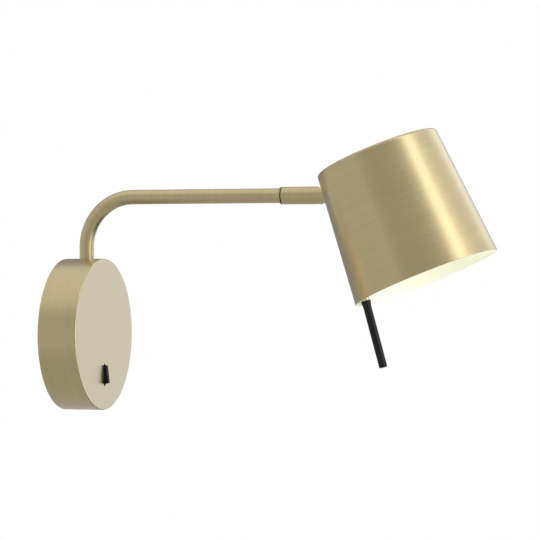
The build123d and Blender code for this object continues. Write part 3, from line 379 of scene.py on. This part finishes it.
def brush(gold, place, pitch, change, roughness, depth):
    """Feeds a gold finish with fine brush lines and broader bands that run round an axis."""
    fine = gold.lines(place, pitch, change)
    broad = gold.lines(place, pitch * 4, change / 2)
    lines = fine * 0.6 + broad * 0.4
    gold.feed("Base Color", gold.blend(lines, gold_low, gold_high))
    gold.feed("Roughness", lines * 0.1 + (roughness - 0.05))
    gold.relief(lines, depth)


canopy_gold = Finish("canopy_gold", lacquered)
on_canopy = canopy_gold.place((0, 0, 0), (0, -1, 0))
brush(canopy_gold, on_canopy, 0.0006, 0.9, 0.36, 0.000006)

# The flat face is painted paler than the brushed rim, a painted highlight for the studio light
# that it reflects.
canopy_depth = -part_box("canopy_cover")[0].y
face_skin = 0.00005
on_face = canopy_gold.along(on_canopy) > canopy_depth - face_skin
# A paler gold on the face only: painted highlight, not a different plating.
face_painted_highlight_gold = (0.50, 0.425, 0.24, 1)
rim_colour = canopy_gold.fed("Base Color")
canopy_gold.feed("Base Color", canopy_gold.blend(on_face, rim_colour, face_painted_highlight_gold))
canopy_gold.cover("canopy_cover")

# ---------------------------------------------------------------- switch
# A rocker switch: a moulded body behind the face, held by nuts on two welded studs, and a
# narrow black paddle that swings in the slot.
black = mottled(
    "black_moulding",
    (0.004, 0.004, 0.005, 1),
    (0.006, 0.006, 0.007, 1),
    0.0005,
    0.45,
    0.000002,
    {"Specular IOR Level": 0.15},
)
black.cover("switch_body", "switch_rocker")
zinc.cover("switch_studs", "switch_nuts")

# ---------------------------------------------------------------- clamp block
# A brass block brazed inside the top of the canopy's rim.  The arm's foot stands in its bore
# and a grub screw holds it.
brass.cover("clamp_block")
zinc.cover("arm_screw")

# ---------------------------------------------------------------- arm tube
# One tube, bent once, plated as the canopy and brushed in lines that run round it, so the
# lines turn with the bend.  It is made along its path, which also carries those lines.
foot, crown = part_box("arm_tube")
tube_radius = (crown.x - foot.x) / 2
arm_level = crown.z - tube_radius
stand_off = -crown.y + tube_radius
bend_radius = 0.0362
tube_wall = 0.001
bent_tube = bpy.data.node_groups.new("bent_tube", "GeometryNodeTree")
for label, kind in (
    ("Foot", "NodeSocketVector"),
    ("Corner", "NodeSocketVector"),
    ("End", "NodeSocketVector"),
    ("Bend Radius", "NodeSocketFloat"),
    ("Bend Steps", "NodeSocketInt"),
    ("Tube Radius", "NodeSocketFloat"),
    ("Tube Wall", "NodeSocketFloat"),
    ("Ring Steps", "NodeSocketInt"),
    ("Finish", "NodeSocketMaterial"),
):
    bent_tube.interface.new_socket(label, in_out="INPUT", socket_type=kind)
bent_tube.interface.new_socket("Tube", in_out="OUTPUT", socket_type="NodeSocketGeometry")

# A line from the foot to the end, its middle moved to the corner and the corner rounded.
plan = Board(bent_tube)
given = {s.name: Wire(plan, s) for s in bent_tube.nodes.new("NodeGroupInput").outputs if s.name}
straight = plan.node(
    "GeometryNodeCurvePrimitiveLine",
    {"mode": "POINTS"},
    {"Start": given["Foot"], "End": given["End"]},
)
three_points = plan.node(
    "GeometryNodeResampleCurve",
    {"mode": "COUNT"},
    {"Curve": straight, "Count": 3},
)
point_number = plan.node("GeometryNodeInputIndex", {}, {})
middle_point = plan.node(
    "FunctionNodeCompare",
    {"data_type": "INT", "operation": "EQUAL"},
    {2: point_number, 3: 1},
)
cornered = plan.node(
    "GeometryNodeSetPosition",
    {},
    {"Geometry": three_points, "Selection": middle_point, "Position": given["Corner"]},
)
path = plan.node(
    "GeometryNodeFilletCurve",
    {"mode": "POLY"},
    {"Curve": cornered, "Count": given["Bend Steps"], "Radius": given["Bend Radius"]},
)

# The path and the ring carry where each point is on them, for the brush lines.
run_length = plan.node("GeometryNodeSplineParameter", {}, {}, "Length")
marked_path = plan.node(
    "GeometryNodeStoreNamedAttribute",
    {"data_type": "FLOAT", "domain": "POINT"},
    {"Geometry": path, "Name": "path", "Value": run_length},
)
ring = plan.node(
    "GeometryNodeCurvePrimitiveCircle",
    {"mode": "RADIUS"},
    {"Resolution": given["Ring Steps"], "Radius": given["Tube Radius"]},
)
marked_ring = plan.node(
    "GeometryNodeStoreNamedAttribute",
    {"data_type": "FLOAT_VECTOR", "domain": "POINT"},
    {"Geometry": ring, "Name": "ring", "Value": plan.node("GeometryNodeInputPosition", {}, {})},
)

# The outside is pushed in by the wall to give the bore, and both ends get crisp edges.
skin = plan.node(
    "GeometryNodeCurveToMesh",
    {},
    {"Curve": marked_path, "Profile Curve": marked_ring},
)
smooth_skin = plan.node(
    "GeometryNodeSetShadeSmooth",
    {},
    {"Geometry": skin, "Shade Smooth": True},
)
bore = plan.node(
    "GeometryNodeExtrudeMesh",
    {},
    {"Mesh": smooth_skin, "Offset Scale": 0 - given["Tube Wall"], "Individual": False},
)
ends = Wire(plan, bore.socket.node.outputs["Side"])
flat_ends = plan.node(
    "GeometryNodeSetShadeSmooth",
    {},
    {"Geometry": bore, "Selection": ends, "Shade Smooth": False},
)
lining = plan.node("GeometryNodeFlipFaces", {}, {"Mesh": flat_ends})
both = plan.node("GeometryNodeJoinGeometry", {}, {"Geometry": [smooth_skin, lining]})
closed = plan.node("GeometryNodeMergeByDistance", {}, {"Geometry": both, "Distance": 0.000001})
edge_turn = plan.node("GeometryNodeInputMeshEdgeAngle", {}, {}, "Unsigned Angle")
sharp_turn = radians(45)
crisp = plan.node(
    "GeometryNodeSetShadeSmooth",
    {"domain": "EDGE"},
    {"Geometry": closed, "Selection": edge_turn > sharp_turn, "Shade Smooth": False},
)
solid = plan.node("GeometryNodeRealizeInstances", {}, {"Geometry": crisp})
finished = plan.node(
    "GeometryNodeSetMaterial",
    {},
    {"Geometry": solid, "Material": given["Finish"]},
)
bent_tube.links.new(finished.socket, bent_tube.nodes.new("NodeGroupOutput").inputs["Tube"])

tube_gold = Finish("tube_gold", lacquered)
ring_place = tube_gold.node("ShaderNodeAttribute", {"attribute_name": "ring"}, {}, "Vector")
path_place = tube_gold.node("ShaderNodeAttribute", {"attribute_name": "path"}, {}, "Fac")
rise = tube_gold.node("ShaderNodeCombineXYZ", {}, {"Z": path_place})
on_tube = tube_gold.node("ShaderNodeVectorMath", {"operation": "ADD"}, {0: ring_place, 1: rise})
brush(tube_gold, on_tube, 0.0007, 0.3, 0.36, 0.0000015)

arm_piece = bpy.data.objects.new("bent_arm_tube", bpy.data.meshes.new("bent_arm_tube"))
bpy.context.scene.collection.objects.link(arm_piece)
maker = arm_piece.modifiers.new("bent_tube", "NODES")
maker.node_group = bent_tube
for label, value in (
    ("Foot", (0, -stand_off, foot.z)),
    ("Corner", (0, -stand_off, arm_level)),
    ("End", (0, foot.y, arm_level)),
    ("Bend Radius", bend_radius),
    ("Bend Steps", 48),
    ("Tube Radius", tube_radius),
    ("Tube Wall", tube_wall),
    ("Ring Steps", 64),
    ("Finish", tube_gold.material),
):
    maker[bent_tube.interface.items_tree[label].identifier] = value
made_arm = arm_piece.evaluated_get(bpy.context.evaluated_depsgraph_get())
arm_mesh = bpy.data.meshes.new_from_object(made_arm)
arm_piece.modifiers.remove(maker)
arm_piece.data = arm_mesh
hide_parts("arm_tube")
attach(arm_piece, "arm")

# ---------------------------------------------------------------- swivel
# A turned ferrule brazed on the tube's end, a brass spindle screwed into it, and the sleeve
# that turns on the spindle between a dark fibre washer and a disc spring under a round nut.
ferrule_gold = Finish("ferrule_gold", lacquered)
on_ferrule = ferrule_gold.place((0, 0, arm_level), (0, -1, 0))
brush(ferrule_gold, on_ferrule, 0.0007, 0.3, 0.36, 0.0000015)
ferrule_gold.cover("ferrule", "swivel_sleeve", "fork_plug")
brass.cover("spindle", "swivel_nut")
zinc.cover("stop_pin", "disc_spring", "sleeve_screw", "pivot_screw")
fibre = mottled(
    "dark_fibre",
    (0.030, 0.018, 0.010, 1),
    (0.055, 0.034, 0.020, 1),
    0.0003,
    0.8,
    0.00002,
    {},
)
fibre.cover("swivel_washer")
clear_nylon = mottled(
    "clear_nylon",
    (0.66, 0.65, 0.60, 1),
    (0.75, 0.74, 0.69, 1),
    0.0006,
    0.4,
    0.000005,
    {},
)
clear_nylon.cover("pivot_washers")

# ---------------------------------------------------------------- shade
# A tapered cup spun from sheet, brushed round its axis, plated and lacquered outside and
# painted white inside.  Two welded studs under its top hold it on the bracket.
shade_wall = 0.0012
shade_top_radius = 0.0447
shade_slope = 0.00845 / 0.095
stud_length = 0.008


def middle_of(name):
    low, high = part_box(name)
    return (low + high) / 2


shade_down = (middle_of("lamp_core") - middle_of("shade_studs")).normalized()
shade_top = middle_of("shade_studs") - shade_down * (shade_wall + stud_length / 2)
shade_finish = Finish("shade_finish", lacquered)
on_shade = shade_finish.place(shade_top, shade_down)
brush(shade_finish, on_shade, 0.0006, 0.9, 0.34, 0.000006)

# Inside the wall's middle the finish turns to white paint, with a painted glow that stands in for
# the lamp's light falling on it.
depth = shade_finish.along(on_shade)
inner_edge = depth * shade_slope + (shade_top_radius - shade_wall / 2)
inside = (depth > shade_wall / 2) * (inner_edge > shade_finish.from_axis(on_shade))
inner_paint = (0.86, 0.85, 0.80, 1)
outer_colour = shade_finish.fed("Base Color")
shade_finish.feed("Base Color", shade_finish.blend(inside, outer_colour, inner_paint))
shade_finish.feed("Metallic", 1 - inside)
shade_finish.feed("Coat Weight", 1 - inside)
# The inside paint emits a little: painted light from the lamp, since the paint is no lamp.
shade_finish.shader.inputs["Emission Strength"].default_value = 1.0
no_glow = (0, 0, 0, 1)
painted_lamp_glow = (0.15, 0.155, 0.08, 1)
shade_finish.feed("Emission Color", shade_finish.blend(inside, no_glow, painted_lamp_glow))
shade_finish.cover("shade")
zinc.cover("shade_studs", "bracket_nuts")

# ---------------------------------------------------------------- bracket
# A white powder-coated casting under the shade's top, with the eye that turns on the pivot
# screw and the boss that the handle's rod is screwed into.
powder_coat = mottled(
    "powder_coat",
    (0.80, 0.79, 0.75, 1),
    (0.85, 0.84, 0.80, 1),
    0.0007,
    0.5,
    0.00003,
    {},
)
powder_coat.cover("head_bracket")

# ---------------------------------------------------------------- lamp
# A glazed ceramic holder on two screws, and a two-pin lamp: a moulded base, pins, a glowing
# core and a frosted glass envelope, lit.
glaze = mottled(
    "glazed_ceramic",
    (0.84, 0.82, 0.77, 1),
    (0.90, 0.89, 0.85, 1),
    0.002,
    0.16,
    0.00001,
    {"Coat Weight": 0.5},
)
glaze.cover("lampholder")
zinc.cover("holder_screws", "lamp_pins")
nylon.cover("lamp_base")
warm_light = (1.0, 0.90, 0.62, 1)
frosted = mottled(
    "frosted_glass",
    (0.90, 0.88, 0.80, 1),
    (0.96, 0.94, 0.87, 1),
    0.0006,
    0.5,
    0.00001,
    {"Emission Color": warm_light, "Emission Strength": 2.0},
)
frosted.cover("lamp_envelope", "lamp_core")

# ---------------------------------------------------------------- handle
# A plated rod screwed into the bracket's boss, and a black turned grip screwed on its end.
rod_gold = Finish("rod_gold", lacquered)
rod_low, rod_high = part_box("handle_rod")
rod_middle = (rod_low + rod_high) / 2
rod_down = (middle_of("handle_grip") - rod_middle).normalized()
brush(rod_gold, rod_gold.place(rod_middle, rod_down), 0.0004, 0.4, 0.26, 0.000004)
rod_gold.cover("handle_rod")
grip_black = mottled(
    "satin_black",
    (0.006, 0.006, 0.007, 1),
    (0.009, 0.009, 0.010, 1),
    0.0006,
    0.42,
    0.0000015,
    {"Specular IOR Level": 0.2},
)
grip_black.cover("handle_grip")
